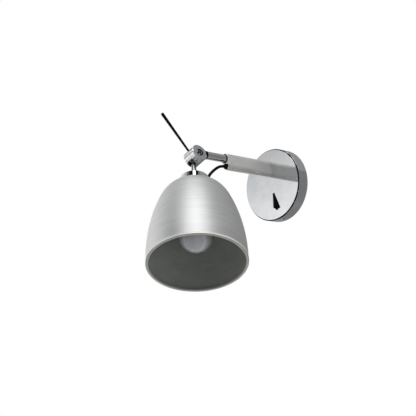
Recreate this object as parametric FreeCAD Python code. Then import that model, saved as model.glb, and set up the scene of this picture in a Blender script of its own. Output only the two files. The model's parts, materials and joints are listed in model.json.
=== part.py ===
"""Wall lamp with a flat-oval arm, a friction knuckle and a bell shade, one solid per piece.

Millimetres, +Z up. The origin is the centre of the wall plate's back face, on the wall;
the lamp projects towards -Y, and +X is to the right as one faces it.
"""
import FreeCAD
import Part
import math
import os

V = FreeCAD.Vector

# Shared clearances
cut_over = 2.0
seat_gap = 0.1

# Wall plate: a shallow chrome cup, open at the back
plate_r = 50.1
plate_depth = 17.95
plate_wall = 1.3
plate_bevel = 1.5
rim_screw_r = 1.7
rim_screw_depth = 9.0
rim_screw_length = 6.5
rim_screw_set_back = 0.6
rim_screw_socket = 1.5

# Bracket: a steel disc on the wall, with one bent ear for the rim screw
bracket_edge_gap = 4.8
bracket_r = plate_r - plate_wall - bracket_edge_gap
bracket_thickness = 1.5
bracket_slot_pitch = 60.0
bracket_slot_width = 4.5
bracket_slot_length = 9.0
bracket_cable_r = 9.0
bracket_cable_rise = 14.0
ear_width = 12.0
ear_reach = 14.0
ear_gap = 0.7
ear_root_reach = 8.0

# Terminal block with its screws, and the earth stud
block_width = 26.0
block_height = 11.0
block_depth = 10.0
block_centre_x = -24.0
block_centre_z = -8.0
block_poles = 3
block_pitch = 8.0
block_screw_r = 1.7
block_screw_height = 3.0
earth_x = 24.0
earth_z = -16.0
earth_stud_r = 2.0
earth_stud_length = 8.0
earth_nut_flats = 7.0
earth_nut_height = 3.2

# Switch: a thin lever in a slot below the arm
switch_rim_gap = 25.1
switch_z = switch_rim_gap - plate_r
switch_slot_height = 25.0
switch_slot_gap = 0.25
lever_width = 3.6
lever_rise = 5.3
lever_apex_drop = 9.2
lever_tail = 11.6
lever_nose = 11.6
lever_pivot_depth = 5.0
lever_hub_r = 3.6
lever_pin_r = 1.0
lever_shoulder = 10.4
lever_shoulder_depth = 1.9
switch_width = 10.0
switch_height = 29.0
switch_depth = 12.0
switch_side_wall = 1.6
contact_blade_width = 4.0
contact_blade = 0.8
contact_blade_length = 2.2

# Arm: a flat-oval tube with a plug at each end
arm_width = 11.6
arm_height = 23.3
arm_rise = 23.5
arm_wall = 1.3
arm_end = -99.7
backing_depth = 2.5
backing_width = 20.0
backing_height = 28.0
root_plug_length = 14.0
root_screw_r = 2.0
root_screw_head_r = 3.5
root_screw_head = 2.2
root_screw_length = 12.0
root_screw_low = -0.4
root_screw_high = 7.0
plug_face = 3.0
plug_chamfer = 1.2
plug_spigot = 8.0

# Cord grommet and the leads
cord_r = 1.9
cord_rise = 16.44
grommet_r = 3.8
grommet_bulge = 2.6
grommet_neck_r = 2.8
grommet_inside = 1.5
belly_share_r = 0.88
belly_share_rise = 0.86
lead_core_r = 0.7
lead_start = -8.0
lead_hole_gap = 0.3
core_clear = 2.5
core_drop = 6.0
core_spread_share = 1.2

# Extension tube on its hollow stud
tube_r = 5.29
tube_wall = 1.2
tube_rise = 27.79
tube_ring_r = 6.1
tube_ring_height = 0.9
stud_r = 2.5
stud_bore_r = 1.0
stud_depth_in_tube = 12.0
stud_nut_flats = 8.0
stud_nut_height = 4.0
stud_nut_turn = 30.0

# Knuckle: fixed block, turning hub and far cap on one bolt
knuckle_y = -146.62
knuckle_r = 11.58
block_length = 7.73
hub_length = 9.0
hub_face_gap = 0.05
far_cap_length = 2.9
washer_thickness = 0.2
washer_inset = 0.6
knuckle_bevel = 0.5
neck_r = 3.4
neck_length = 9.0
neck_washer = 0.9
neck_seat_rise = 0.5
neck_washer_r = 5.6
neck_clip_r = 3.9
neck_clip_length = 1.0
neck_groove_r = 2.6
neck_fit = 0.05
neck_seat = 6.0
boss_r = 4.6
boss_rise = 0.5
bolt_r = 2.0
bolt_head_r = 3.4
bolt_head_depth = 2.6
bolt_socket_flats = 2.5
bolt_socket_depth = 1.6
bolt_set_back = 0.3
bolt_fit = 0.06
swivel_rest = 7.7

# Head: stem, handle rod, cap and bell shade, measured from the stem axis at the hub
stem_offset = 10.06
head_tilt = 17.83
stem_r = 3.3
stem_start = 5.0
stem_neck_r = 2.7
stem_neck_end = 11.9
notch_half_angle = 42.0
notch_floor = 8.4
rod_lean = 26.03
rod_start = 6.5
rod_length = 72.4
rod_root_r = 1.45
rod_tip_r = 2.1
rod_cap_length = 1.2
cap_start = 36.6
cap_top_r = 19.3
cap_base_r = 20.2
cap_wall = 1.4
cap_bevel = 0.8
stem_end_nut_height = 3.0
stem_end_nut_flats = 10.0

# Shade, measured down the axis; the shares give its outline from neck to mouth
shade_start = 48.4
shade_neck_r = 20.3
shade_mouth = 166.3
shade_mouth_r = 60.8
shade_outline_shares = [(0.0, 0.0), (0.031, 0.15), (0.081, 0.363), (0.158, 0.536), (0.285, 0.694),
                        (0.489, 0.869), (0.743, 0.985), (1.0, 1.0)]
shade_wall = 1.2
shade_hole_gap = 0.3
bead_height = 3.5
bead_width = 3.5
bead_stand = 0.5
bead_foot = 1.0
bead_round = 1.2

# Lampholder and bulb
holder_r = 13.5
holder_flange_r = 16.4
holder_flange = 2.6
holder_flange_gap = 0.4
holder_end = 88.0
holder_mouth_r = 7.75
holder_floor = 62.0
ring_r = 19.0
ring_height = 6.0
shell_r = 7.7
shell_wall = 0.5
shell_end = 86.0
contact_r = 3.0
contact_foot = 1.2
bulb_r = 22.5
bulb_centre = 123.4
base_r = 6.9
base_start = 68.0
base_end = 93.5
base_skirt_r = 12.5
base_skirt_start = 89.0
tip_r = 2.6
tip_height = 1.6
glass_wall = 0.8
filament_r = 5.0
filament_wire_r = 0.35
filament_rise = 24.0
filament_stem_r = 2.4
filament_stem_length = 16.0

# Cord gland in the top of the cap
gland_radius = 15.0
gland_turn = -72.0
gland_r = 3.4
gland_neck_r = 2.7
gland_rise = 2.2
gland_inside = 1.6
cord_tail = 7.0

# Route of the cord, grommet to cap, points chosen by hand
cord_meeting = V(0.2, -122.6, 8.6)
cord_arm_points = [V(0, -88.0, cord_rise), V(0, -105.0, cord_rise), V(0, -115.6, 13.4)]
cord_head_points = [V(0.4, -129.9, 3.6), V(0.3, -137.0, -3.3)]


def cylinder(radius, start, end):
    """A cylinder about Z from start to end."""
    return Part.makeCylinder(radius, end - start, V(0, 0, start), V(0, 0, 1))


def bored(outer, inner, start, end):
    """A ring about Z."""
    return cylinder(outer, start, end).cut(cylinder(inner, start - cut_over, end + cut_over))


def along_y(shape, x=0, y=0, z=0):
    """Turn a piece made about +Z so that it points towards -Y, and place it."""
    turned = shape.copy()
    place = FreeCAD.Placement(V(x, y, z), FreeCAD.Rotation(V(1, 0, 0), 90))
    turned.Placement = place.multiply(turned.Placement)
    return turned


def along_x(shape, x=0, y=0, z=0):
    """Turn a piece made about +Z so that it points towards +X, and place it."""
    turned = shape.copy()
    place = FreeCAD.Placement(V(x, y, z), FreeCAD.Rotation(V(0, 1, 0), 90))
    turned.Placement = place.multiply(turned.Placement)
    return turned


def box(width, depth, height, x, y, z):
    """A box centred on x and z whose front is at y and whose back is y + depth."""
    return Part.makeBox(width, depth, height, V(x - width / 2, y, z - height / 2))


def turned_profile(points):
    """Revolve a closed outline of (radius, height) points about Z."""
    corners = [V(r, 0, h) for r, h in points]
    wire = Part.makePolygon(corners + corners[:1])
    return Part.Face(wire).revolve(V(0, 0, 0), V(0, 0, 1), 360)


def hexagon(flats, start, end):
    """A hexagonal bar about Z."""
    radius = flats / math.sqrt(3)
    corners = [V(radius * math.cos(math.radians(60 * i)), radius * math.sin(math.radians(60 * i)), start)
               for i in range(6)]
    return Part.Face(Part.makePolygon(corners + corners[:1])).extrude(V(0, 0, end - start))


def flat_oval(width, height, front, back, rise):
    """A flat oval standing upright, run along Y from back to front."""
    r = width / 2
    h = height / 2 - r
    right = Part.LineSegment(V(r, back, rise - h), V(r, back, rise + h))
    top = Part.Arc(V(r, back, rise + h), V(0, back, rise + h + r), V(-r, back, rise + h))
    left = Part.LineSegment(V(-r, back, rise + h), V(-r, back, rise - h))
    foot = Part.Arc(V(-r, back, rise - h), V(0, back, rise - h - r), V(r, back, rise - h))
    wire = Part.Wire([e.toShape() for e in (right, top, left, foot)])
    return Part.Face(wire).extrude(V(0, front - back, 0))


def group(shapes):
    """Several separate solids in one node."""
    return Part.makeCompound(shapes)


def swivel_place():
    """Where the knuckle's own frame lies: the tube's axis, turned to the rest angle."""
    return FreeCAD.Placement(V(0, knuckle_y, tube_rise), FreeCAD.Rotation(V(0, -1, 0), swivel_rest))


def head_place():
    """Where the head's frame lies: Z down the stem, X along the bolt, from the stem axis in the hub."""
    turn = FreeCAD.Rotation(V(1, 0, 0), 180 - head_tilt)
    return swivel_place().multiply(FreeCAD.Placement(V(-stem_offset, 0, 0), turn))


def in_frame(shape, place):
    """Place a piece that was made in the knuckle's or the head's frame."""
    moved = shape.copy()
    moved.Placement = place.multiply(moved.Placement)
    return moved


def rounded_route(points):
    """Straight runs joined by tangent arcs, each arc as large as its two runs allow."""
    share = 0.45
    edges = []
    radii = []
    last = points[0]
    for before, corner, after in zip(points, points[1:], points[2:]):
        back = before.sub(corner)
        ahead = after.sub(corner)
        reach = share * min(back.Length, ahead.Length)
        turn = math.pi - back.getAngle(ahead)
        radius = reach / math.tan(turn / 2)
        enter = corner.add(back.normalize().multiply(reach))
        leave = corner.add(ahead.normalize().multiply(reach))
        middle = enter.add(leave).multiply(0.5)
        inward = middle.sub(corner)
        depth = radius / math.cos(turn / 2) - radius
        crown = corner.add(inward.normalize().multiply(depth))
        edges.append(Part.LineSegment(last, enter).toShape())
        edges.append(Part.Arc(enter, crown, leave).toShape())
        radii.append(round(radius, 1))
        last = leave
    edges.append(Part.LineSegment(last, points[-1]).toShape())
    return Part.Wire(edges), radii


def tube_along(points, radius, name):
    """A round tube, solid through, along a rounded route."""
    route, radii = rounded_route(points)
    heading = points[1].sub(points[0])
    section = Part.Face(Part.Wire(Part.makeCircle(radius, points[0], heading)))
    tube = route.makePipe(section)
    share = tube.Volume / (math.pi * radius ** 2 * route.Length)
    print(name, "length", round(route.Length, 1), "radii", radii, "volume share", round(share, 4))
    return tube


def wall_bracket():
    """Steel disc with two slots, a cable opening, an earth stud hole and the bent ear."""
    disc = along_y(cylinder(bracket_r, 0, bracket_thickness))
    through = bracket_thickness + 2 * cut_over
    disc = disc.cut(along_y(cylinder(bracket_cable_r, 0, through), 0, cut_over, bracket_cable_rise))
    disc = disc.cut(along_y(cylinder(earth_stud_r, 0, through), earth_x, cut_over, earth_z))
    slot = flat_oval(bracket_slot_width, bracket_slot_length, cut_over - through, cut_over, 0)
    slot = slot.rotated(V(0, 0, 0), V(0, 1, 0), 90)
    for side in (-1, 1):
        disc = disc.cut(slot.translated(V(side * bracket_slot_pitch / 2, 0, 0)))
    ear_z = -(plate_r - plate_wall - ear_gap)
    root = box(ear_width, bracket_thickness, ear_root_reach, 0, -bracket_thickness, ear_z + ear_root_reach / 2)
    ear = box(ear_width, ear_reach, bracket_thickness, 0, -ear_reach, ear_z + bracket_thickness / 2)
    whole = disc.fuse([root, ear]).removeSplitter()
    through = 2 * cut_over + bracket_thickness
    hole = Part.makeCylinder(rim_screw_r, through, V(0, -rim_screw_depth, ear_z - cut_over))
    return whole.cut(hole)


def wall_plate():
    """Shallow chrome cup with the arm's screw and lead holes, the lever slot and the rim hole."""
    inner_r = plate_r - plate_wall
    inner = plate_depth - plate_wall
    cup = along_y(turned_profile([
        (0, inner), (inner_r, inner), (inner_r, 0), (plate_r, 0), (plate_r, plate_depth - plate_bevel),
        (plate_r - plate_bevel, plate_depth), (0, plate_depth)]))
    through = plate_wall + 2 * cut_over
    for rise in (root_screw_low, root_screw_high):
        hole = cylinder(root_screw_r + seat_gap, 0, through)
        cup = cup.cut(along_y(hole, 0, -inner + cut_over, arm_rise + rise))
    cup = cup.cut(along_y(cylinder(cord_r + lead_hole_gap, 0, through), 0, -inner + cut_over, cord_rise))
    slot_width = lever_width + 2 * switch_slot_gap
    cup = cup.cut(box(slot_width, through, switch_slot_height, 0, -inner + cut_over - through, switch_z))
    rim = Part.makeCylinder(rim_screw_r + seat_gap, through, V(0, -rim_screw_depth, -plate_r - cut_over))
    return cup.cut(rim)


def rim_screw():
    """Socket grub screw through the rim into the bracket's ear."""
    low = -plate_r + rim_screw_set_back
    screw = Part.makeCylinder(rim_screw_r, rim_screw_length, V(0, -rim_screw_depth, low))
    socket = hexagon(rim_screw_socket, low - cut_over, low + rim_screw_socket)
    return screw.cut(socket.translated(V(0, -rim_screw_depth, 0)))


def block_places():
    """The centres of the terminal screws across the block."""
    return [block_centre_x + block_pitch * (i - (block_poles - 1) / 2) for i in range(block_poles)]


def terminal_block():
    """Plastic block on the bracket with a screw well in each pole."""
    front = -bracket_thickness - block_depth
    block = box(block_width, block_depth, block_height, block_centre_x, front, block_centre_z)
    for x in block_places():
        well = cylinder(block_screw_r + seat_gap, -block_screw_height, cut_over)
        block = block.cut(along_y(well, x, front, block_centre_z))
    return block


def terminal_screws():
    """Brass clamping screws in the wells of the block."""
    front = -bracket_thickness - block_depth
    slot = box(2 * block_screw_r + cut_over, lead_core_r, lead_core_r, 0, 0, 0)
    screws = []
    for x in block_places():
        screw = along_y(cylinder(block_screw_r, -block_screw_height, 0), x, front, block_centre_z)
        screws.append(screw.cut(slot.translated(V(x, front - seat_gap, block_centre_z))))
    return group(screws)


def earth_stud():
    """Brass stud through the bracket."""
    return along_y(cylinder(earth_stud_r, 0, bracket_thickness + earth_stud_length), earth_x, 0, earth_z)


def earth_nut():
    """Hexagon nut on the earth stud."""
    nut = hexagon(earth_nut_flats, bracket_thickness, bracket_thickness + earth_nut_height)
    bore = cylinder(earth_stud_r, 0, bracket_thickness + earth_nut_height + cut_over)
    return along_y(nut.cut(bore), earth_x, 0, earth_z)


def pivot_y():
    """How far out the lever's pin lies."""
    return -(plate_depth - lever_pivot_depth)


def switch_body():
    """Plastic box behind the plate, open to the slot, with holes for the lever's pin."""
    front = -(plate_depth - plate_wall)
    body = box(switch_width, switch_depth, switch_height, 0, front, switch_z)
    wall = switch_side_wall
    hollow = box(switch_width - 2 * wall, switch_depth - wall + cut_over, switch_height - 2 * wall,
                 0, front - cut_over, switch_z)
    pin = along_x(cylinder(lever_pin_r, -switch_width, switch_width), 0, pivot_y(), switch_z)
    return body.cut(hollow).cut(pin)


def switch_lever():
    """Thin black wedge that rocks on its pin, highest near its lower end."""
    out = lever_pivot_depth
    shoulder_y = pivot_y() - lever_shoulder_depth
    outline = [
        (pivot_y() - out, lever_nose), (pivot_y() - out - lever_rise, -lever_apex_drop),
        (pivot_y() - out, -lever_tail), (shoulder_y, -lever_shoulder),
        (pivot_y(), -lever_hub_r), (pivot_y(), lever_hub_r), (shoulder_y, lever_shoulder)]
    corners = [V(-lever_width / 2, y, switch_z + z) for y, z in outline]
    wedge = Part.Face(Part.makePolygon(corners + corners[:1])).extrude(V(lever_width, 0, 0))
    half = lever_width / 2
    hub = along_x(cylinder(lever_hub_r, -half, half), 0, pivot_y(), switch_z)
    bore = along_x(cylinder(lever_pin_r + seat_gap / 2, -lever_width, lever_width), 0, pivot_y(), switch_z)
    return wedge.fuse(hub).removeSplitter().cut(bore)


def lever_pin():
    """Steel pin across the switch body."""
    return along_x(cylinder(lever_pin_r, -switch_width / 2, switch_width / 2), 0, pivot_y(), switch_z)


def switch_contacts():
    """Two brass blades on the back of the switch body."""
    back = -(plate_depth - plate_wall) + switch_depth
    step = switch_height / 4
    return group([box(contact_blade_width, contact_blade_length, contact_blade, 0, back, switch_z + side * step)
                  for side in (-1, 1)])


def lead_hole(front, back):
    """The bore that lets the lead pass, along Y at the lead's height."""
    return along_y(cylinder(cord_r + lead_hole_gap, 0, back - front), 0, back, cord_rise)


def arm_backing_plate():
    """Steel plate inside the cup that the arm's screws pull against."""
    front = -(plate_depth - plate_wall)
    plate = box(backing_width, backing_depth, backing_height, 0, front, arm_rise)
    for rise in (root_screw_low, root_screw_high):
        hole = cylinder(root_screw_r + seat_gap, -cut_over, backing_depth + cut_over)
        plate = plate.cut(along_y(hole, 0, front + backing_depth, arm_rise + rise))
    return plate.cut(lead_hole(front - cut_over, front + backing_depth + cut_over))


def arm_screws():
    """Two pan screws from inside the cup into the arm's root plug."""
    seat = -(plate_depth - plate_wall) + backing_depth
    screws = []
    for rise in (root_screw_low, root_screw_high):
        shank = cylinder(root_screw_r, 0, root_screw_length)
        head = cylinder(root_screw_head_r, -root_screw_head, 0)
        screws.append(along_y(shank.fuse(head).removeSplitter(), 0, seat, arm_rise + rise))
    return group(screws)


def arm_root_plug():
    """Solid plug in the wall end of the arm, tapped for the two screws."""
    width = arm_width - 2 * arm_wall - seat_gap
    height = arm_height - 2 * arm_wall - seat_gap
    plug = flat_oval(width, height, -plate_depth - root_plug_length, -plate_depth, arm_rise)
    for rise in (root_screw_low, root_screw_high):
        bore = cylinder(root_screw_r, -cut_over, root_plug_length + cut_over)
        plug = plug.cut(along_y(bore, 0, -plate_depth, arm_rise + rise))
    return plug.cut(lead_hole(-plate_depth - root_plug_length - cut_over, -plate_depth + cut_over))


def arm_tube():
    """Flat-oval aluminium tube from the wall plate to its end plug."""
    front = arm_end + plug_face
    outer = flat_oval(arm_width, arm_height, front, -plate_depth, arm_rise)
    inner = flat_oval(arm_width - 2 * arm_wall, arm_height - 2 * arm_wall, front - cut_over,
                      -plate_depth + cut_over, arm_rise)
    return outer.cut(inner)


def arm_end_plug():
    """Cast plug with a chamfered face, a spigot in the tube and bores for the stud and the cord."""
    seam = arm_end + plug_face
    face = flat_oval(arm_width, arm_height, arm_end, seam, arm_rise)
    rim = [e for e in face.Edges if abs(e.BoundBox.YMax - arm_end) < seat_gap and e.BoundBox.YLength < seat_gap]
    face = face.makeChamfer(plug_chamfer, rim)
    width = arm_width - 2 * arm_wall - seat_gap
    height = arm_height - 2 * arm_wall - seat_gap
    spigot = flat_oval(width, height, seam, seam + plug_spigot, arm_rise)
    plug = face.fuse(spigot).removeSplitter()
    long = plug_face + plug_spigot + 2 * cut_over
    stud = along_y(cylinder(stud_r, 0, long), 0, seam + plug_spigot + cut_over, tube_rise)
    cord = along_y(cylinder(grommet_neck_r, 0, long), 0, seam + plug_spigot + cut_over, cord_rise)
    return plug.cut(stud).cut(cord)


def cord_grommet():
    """Black rubber grommet: a bulging head on the plug's face and a neck through the plug."""
    inside = plug_face + plug_spigot + grommet_inside
    neck = cylinder(grommet_neck_r, -inside, 0)
    lip_r = cord_r + lead_hole_gap
    belly = V(grommet_r * belly_share_r, 0, grommet_bulge * belly_share_rise)
    head_wire = Part.Wire([
        Part.LineSegment(V(0, 0, 0), V(grommet_r, 0, 0)).toShape(),
        Part.LineSegment(V(grommet_r, 0, 0), V(grommet_r, 0, grommet_bulge / 2)).toShape(),
        Part.Arc(V(grommet_r, 0, grommet_bulge / 2), belly, V(lip_r, 0, grommet_bulge)).toShape(),
        Part.LineSegment(V(lip_r, 0, grommet_bulge), V(0, 0, grommet_bulge)).toShape(),
        Part.LineSegment(V(0, 0, grommet_bulge), V(0, 0, 0)).toShape()])
    head = Part.Face(head_wire).revolve(V(0, 0, 0), V(0, 0, 1), 360)
    bore = cylinder(cord_r, -inside - cut_over, grommet_bulge + cut_over)
    whole = head.fuse(neck).removeSplitter().cut(bore)
    return along_y(whole, 0, arm_end, cord_rise)


def ring_start():
    """How far from the bolt the black ring's seat lies, along the neck."""
    return knuckle_r + neck_seat_rise


def extension_tube():
    """Chrome tube seated on the plug, with a solid root for the stud and a bore for the neck."""
    end = knuckle_y + ring_start() + neck_washer + seat_gap
    tube = cylinder(tube_r, 0, arm_end - end)
    bore_start = stud_depth_in_tube
    tube = tube.cut(cylinder(tube_r - tube_wall, bore_start, arm_end - end - neck_seat))
    tube = tube.cut(cylinder(stud_r, -cut_over, bore_start + cut_over))
    tube = tube.cut(cylinder(neck_r + neck_fit, bore_start, arm_end - end + cut_over))
    return along_y(tube, 0, arm_end, tube_rise)


def tube_ring():
    """Dark ring round the root of the extension tube."""
    return along_y(bored(tube_ring_r, tube_r, 0, tube_ring_height), 0, arm_end, tube_rise)


def tube_stud():
    """Hollow steel stud that pulls the extension tube onto the plug."""
    inside = plug_face + plug_spigot + stud_nut_height
    return along_y(bored(stud_r, stud_bore_r, -inside, stud_depth_in_tube), 0, arm_end, tube_rise)


def tube_stud_nut():
    """Hexagon nut on the stud, behind the plug's spigot."""
    start = -(plug_face + plug_spigot + stud_nut_height)
    nut = hexagon(stud_nut_flats, start, start + stud_nut_height).rotated(V(0, 0, 0), V(0, 0, 1), stud_nut_turn)
    return along_y(nut.cut(cylinder(stud_r, start - cut_over, 0)), 0, arm_end, tube_rise)


def inner_lead():
    """The sheathed lead held inside the arm, from the wall plate to the free cord."""
    start = cord_arm_points[0]
    return along_y(cylinder(cord_r, 0, lead_start - start.y), start.x, lead_start, start.z)


def inner_lead_cores():
    """Two cores from the lead's sheath to the wells of the terminal block."""
    front = -bracket_thickness - block_depth
    cores = []
    for side, x in zip((1, -1), (block_places()[-1], block_places()[-2])):
        start = V(0, lead_start, cord_rise + side * lead_core_r * core_spread_share)
        end = V(x, front + block_depth / 2, block_centre_z + block_height / 2)
        over = end.add(V(0, 0, core_drop))
        out = start.add(V(0, core_clear, 0))
        middle = V(out.x + (over.x - out.x) / 2, over.y, (out.z + over.z) / 2)
        cores.append(tube_along([start, out, middle, over, end], lead_core_r, "core"))
    return group(cores)


def knuckle_block():
    """Fixed half of the knuckle: a chrome disc with a boss on its near face and the swivel neck."""
    half = block_length / 2
    bevel = knuckle_bevel
    disc = turned_profile([
        (0, -half), (knuckle_r, -half), (knuckle_r, half - bevel), (knuckle_r - bevel, half),
        (boss_r, half), (boss_r, half + boss_rise), (0, half + boss_rise)])
    disc = along_x(disc)
    neck_end = ring_start() + neck_washer + neck_length
    neck = cylinder(neck_r, 0, neck_end)
    groove_end = neck_end - neck_clip_length
    groove = bored(neck_r + cut_over, neck_groove_r, groove_end - neck_clip_length, groove_end)
    neck = neck.cut(groove).rotated(V(0, 0, 0), V(1, 0, 0), -90)
    seat = Part.makeBox(block_length - 2 * bevel, ring_start(), 2 * neck_r, V(bevel - half, 0, -neck_r))
    whole = disc.fuse(seat).fuse(neck).removeSplitter()
    head = half + boss_rise
    whole = whole.cut(along_x(cylinder(bolt_r, -half - cut_over, head + cut_over)))
    whole = whole.cut(along_x(cylinder(bolt_head_r, head - bolt_head_depth, head + cut_over)))
    return in_frame(whole, swivel_place())


def neck_ring():
    """Black friction ring between the extension tube and the knuckle."""
    ring = bored(neck_washer_r, neck_r + neck_fit, ring_start(), ring_start() + neck_washer)
    return in_frame(ring.rotated(V(0, 0, 0), V(1, 0, 0), -90), swivel_place())


def neck_clip():
    """Spring clip in the neck's groove, inside the extension tube."""
    end = ring_start() + neck_washer + neck_length - neck_clip_length
    clip = bored(neck_clip_r, neck_groove_r, end - neck_clip_length, end)
    corner = V(0, -neck_groove_r / 2, end - neck_length)
    gap = Part.makeBox(neck_clip_r * 2, neck_groove_r, 2 * neck_length, corner)
    return in_frame(clip.cut(gap).rotated(V(0, 0, 0), V(1, 0, 0), -90), swivel_place())


def hub_span():
    """The hub's two faces along the bolt, from the stem's axis."""
    near = stem_offset - block_length / 2 - washer_thickness - hub_face_gap
    return near - hub_length, near


def knuckle_washers():
    """Dark friction washers on both faces of the hub."""
    low, high = hub_span()
    low -= hub_face_gap
    high += hub_face_gap
    r = knuckle_r - washer_inset
    return in_frame(group([
        along_x(bored(r, bolt_r + seat_gap, high, high + washer_thickness), -stem_offset),
        along_x(bored(r, bolt_r + seat_gap, low - washer_thickness, low), -stem_offset)]), swivel_place())


def knuckle_far_cap():
    """Chrome end disc, threaded on the bolt."""
    low = hub_span()[0] - hub_face_gap - washer_thickness
    bevel = knuckle_bevel
    start = low - far_cap_length
    cap = turned_profile([
        (bolt_r, low), (knuckle_r, low), (knuckle_r, start + bevel), (knuckle_r - bevel, start),
        (bolt_r, start)])
    return in_frame(along_x(cap, -stem_offset), swivel_place())


def pivot_bolt():
    """Socket-head bolt through the block, the hub and the far cap."""
    head = block_length / 2 + boss_rise
    seat = head - bolt_head_depth
    end = hub_span()[0] - hub_face_gap - washer_thickness - far_cap_length - stem_offset
    bolt = cylinder(bolt_r, end + bolt_set_back, seat + seat_gap)
    top = cylinder(bolt_head_r - seat_gap, seat, head - bolt_set_back)
    socket = hexagon(bolt_socket_flats, head - bolt_set_back - bolt_socket_depth, head + cut_over)
    return in_frame(along_x(bolt.fuse(top).removeSplitter().cut(socket)), swivel_place())


def knuckle_hub():
    """Turning half of the knuckle, notched round the stem."""
    low, high = hub_span()
    hub = along_x(bored(knuckle_r, bolt_r + bolt_fit, low, high))
    half_width = knuckle_r * math.sin(math.radians(notch_half_angle))
    notch = Part.makeBox(hub_length + 2 * cut_over, 2 * half_width, knuckle_r,
                         V(low - cut_over, -half_width, notch_floor))
    hub = hub.cut(notch)
    hub = hub.cut(cylinder(stem_neck_r, stem_start, knuckle_r + cut_over))
    rod = cylinder(rod_root_r, rod_start, knuckle_r + cut_over)
    hub = hub.cut(rod.rotated(V(0, 0, 0), V(1, 0, 0), rod_turn()))
    return in_frame(hub, head_place())


def rod_turn():
    """Angle about the bolt from the stem's direction to the rod's."""
    return head_tilt + rod_lean - 180


def handle_rod():
    """Glossy black rod, thicker towards its tip."""
    end = rod_length - rod_cap_length
    root = cylinder(rod_root_r, rod_start, knuckle_r)
    rod = Part.makeCone(rod_root_r, rod_tip_r, end - knuckle_r, V(0, 0, knuckle_r), V(0, 0, 1))
    whole = root.fuse(rod).removeSplitter()
    return in_frame(whole.rotated(V(0, 0, 0), V(1, 0, 0), rod_turn()), head_place())


def rod_end_cap():
    """Pale flat cap on the tip of the rod."""
    cap = cylinder(rod_tip_r, rod_length - rod_cap_length, rod_length)
    cap = cap.makeChamfer(rod_cap_length / 4, [e for e in cap.Edges if e.BoundBox.ZMin > rod_length - seat_gap])
    return in_frame(cap.rotated(V(0, 0, 0), V(1, 0, 0), rod_turn()), head_place())


def stem():
    """Chrome stem from the hub down through the cap."""
    end = cap_start + cap_wall + stem_end_nut_height
    root = cylinder(stem_neck_r, stem_start, stem_neck_end)
    bar = cylinder(stem_r, stem_neck_end, cap_start)
    thread = cylinder(stem_neck_r, cap_start, end)
    return in_frame(root.fuse([bar, thread]).removeSplitter(), head_place())


def gland_spot():
    """The gland's place across the cap, in the head's frame."""
    angle = math.radians(gland_turn)
    return V(gland_radius * math.cos(angle), gland_radius * math.sin(angle), 0)


def cord_spot(along):
    """A point on the gland's leaning bore, in the head's frame; zero is at the cap's top face."""
    spot = gland_spot().add(V(0, 0, cap_start))
    above = head_place().inverse().multVec(cord_head_points[-1])
    return spot.add(spot.sub(above).normalize().multiply(along))


def shade_cap():
    """Short chrome cap over the shade's neck, closed at the top."""
    r = (cap_top_r - cap_bevel, cap_top_r, cap_base_r)
    cap = turned_profile([
        (stem_neck_r, cap_start), (r[0], cap_start), (r[1], cap_start + cap_bevel), (r[2], shade_start),
        (r[2] - cap_wall, shade_start), (r[1] - cap_wall, cap_start + cap_wall),
        (stem_neck_r, cap_start + cap_wall)])
    hole = cylinder(gland_neck_r, cap_start - cut_over, cap_start + cap_wall + cut_over)
    return in_frame(cap.cut(hole.translated(gland_spot())), head_place())


def stem_end_nut():
    """Hexagon nut that holds the cap on the stem."""
    start = cap_start + cap_wall
    nut = hexagon(stem_end_nut_flats, start, start + stem_end_nut_height)
    return in_frame(nut.cut(cylinder(stem_neck_r, start - cut_over, start + cut_over + stem_end_nut_height)),
                    head_place())


def cord_gland():
    """Black gland in the cap's top that the cord passes through."""
    inside = cap_start + cap_wall
    body = cylinder(gland_neck_r, cap_start - gland_rise, inside + gland_inside)
    collar = cylinder(gland_r, cap_start - gland_rise, cap_start)
    collar = collar.makeFillet(gland_rise / 2, [e for e in collar.Edges
                                                if e.BoundBox.ZMax < cap_start - gland_rise + seat_gap])
    flange = cylinder(gland_r, inside, inside + gland_inside)
    whole = body.fuse([collar, flange]).removeSplitter()
    whole = whole.translated(gland_spot())
    reach = gland_rise + gland_r + cord_tail
    bore = Part.makeCylinder(cord_r, 2 * reach, cord_spot(-reach), cord_spot(reach).sub(cord_spot(-reach)))
    return in_frame(whole.cut(bore), head_place())


def shade_curve(inset):
    """The shade's outline, neck to mouth, at a distance inside its outer face."""
    drop = shade_mouth - shade_start
    wide = shade_mouth_r - shade_neck_r
    points = [V(shade_neck_r + b * wide, 0, shade_start + a * drop) for a, b in shade_outline_shares]
    curve = Part.BSplineCurve()
    curve.interpolate(points)
    if not inset:
        return curve
    shifted = []
    for point in points:
        tangent = curve.tangent(curve.parameter(point))[0]
        shifted.append(point.add(V(-tangent.z, 0, tangent.x).multiply(inset)))
    shifted[0] = V(shifted[0].x, 0, shade_start + inset)
    shifted[-1] = V(shifted[-1].x, 0, shade_mouth)
    inner = Part.BSplineCurve()
    inner.interpolate(shifted)
    return inner


def bell():
    """The bell in the head's frame: a flat neck plate, a curved wall, and an edge inside the bead."""
    outer = shade_curve(0)
    inner = shade_curve(shade_wall)
    top = shade_start
    floor = shade_start + shade_wall
    hole_r = holder_r + shade_hole_gap
    edges = [
        Part.LineSegment(V(hole_r, 0, top), outer.StartPoint).toShape(), outer.toShape(),
        Part.LineSegment(outer.EndPoint, inner.EndPoint).toShape(), inner.toShape(),
        Part.LineSegment(inner.StartPoint, V(hole_r, 0, floor)).toShape(),
        Part.LineSegment(V(hole_r, 0, floor), V(hole_r, 0, top)).toShape()]
    wire = Part.Wire(Part.__sortEdges__(edges))
    whole = Part.Face(wire).revolve(V(0, 0, 0), V(0, 0, 1), 360)
    return whole.cut(cylinder(shade_mouth_r + cut_over, shade_mouth - bead_foot, shade_mouth + cut_over))


def shade():
    """Spun aluminium bell that the lampholder clamps by its neck plate."""
    return in_frame(bell(), head_place())


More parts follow.
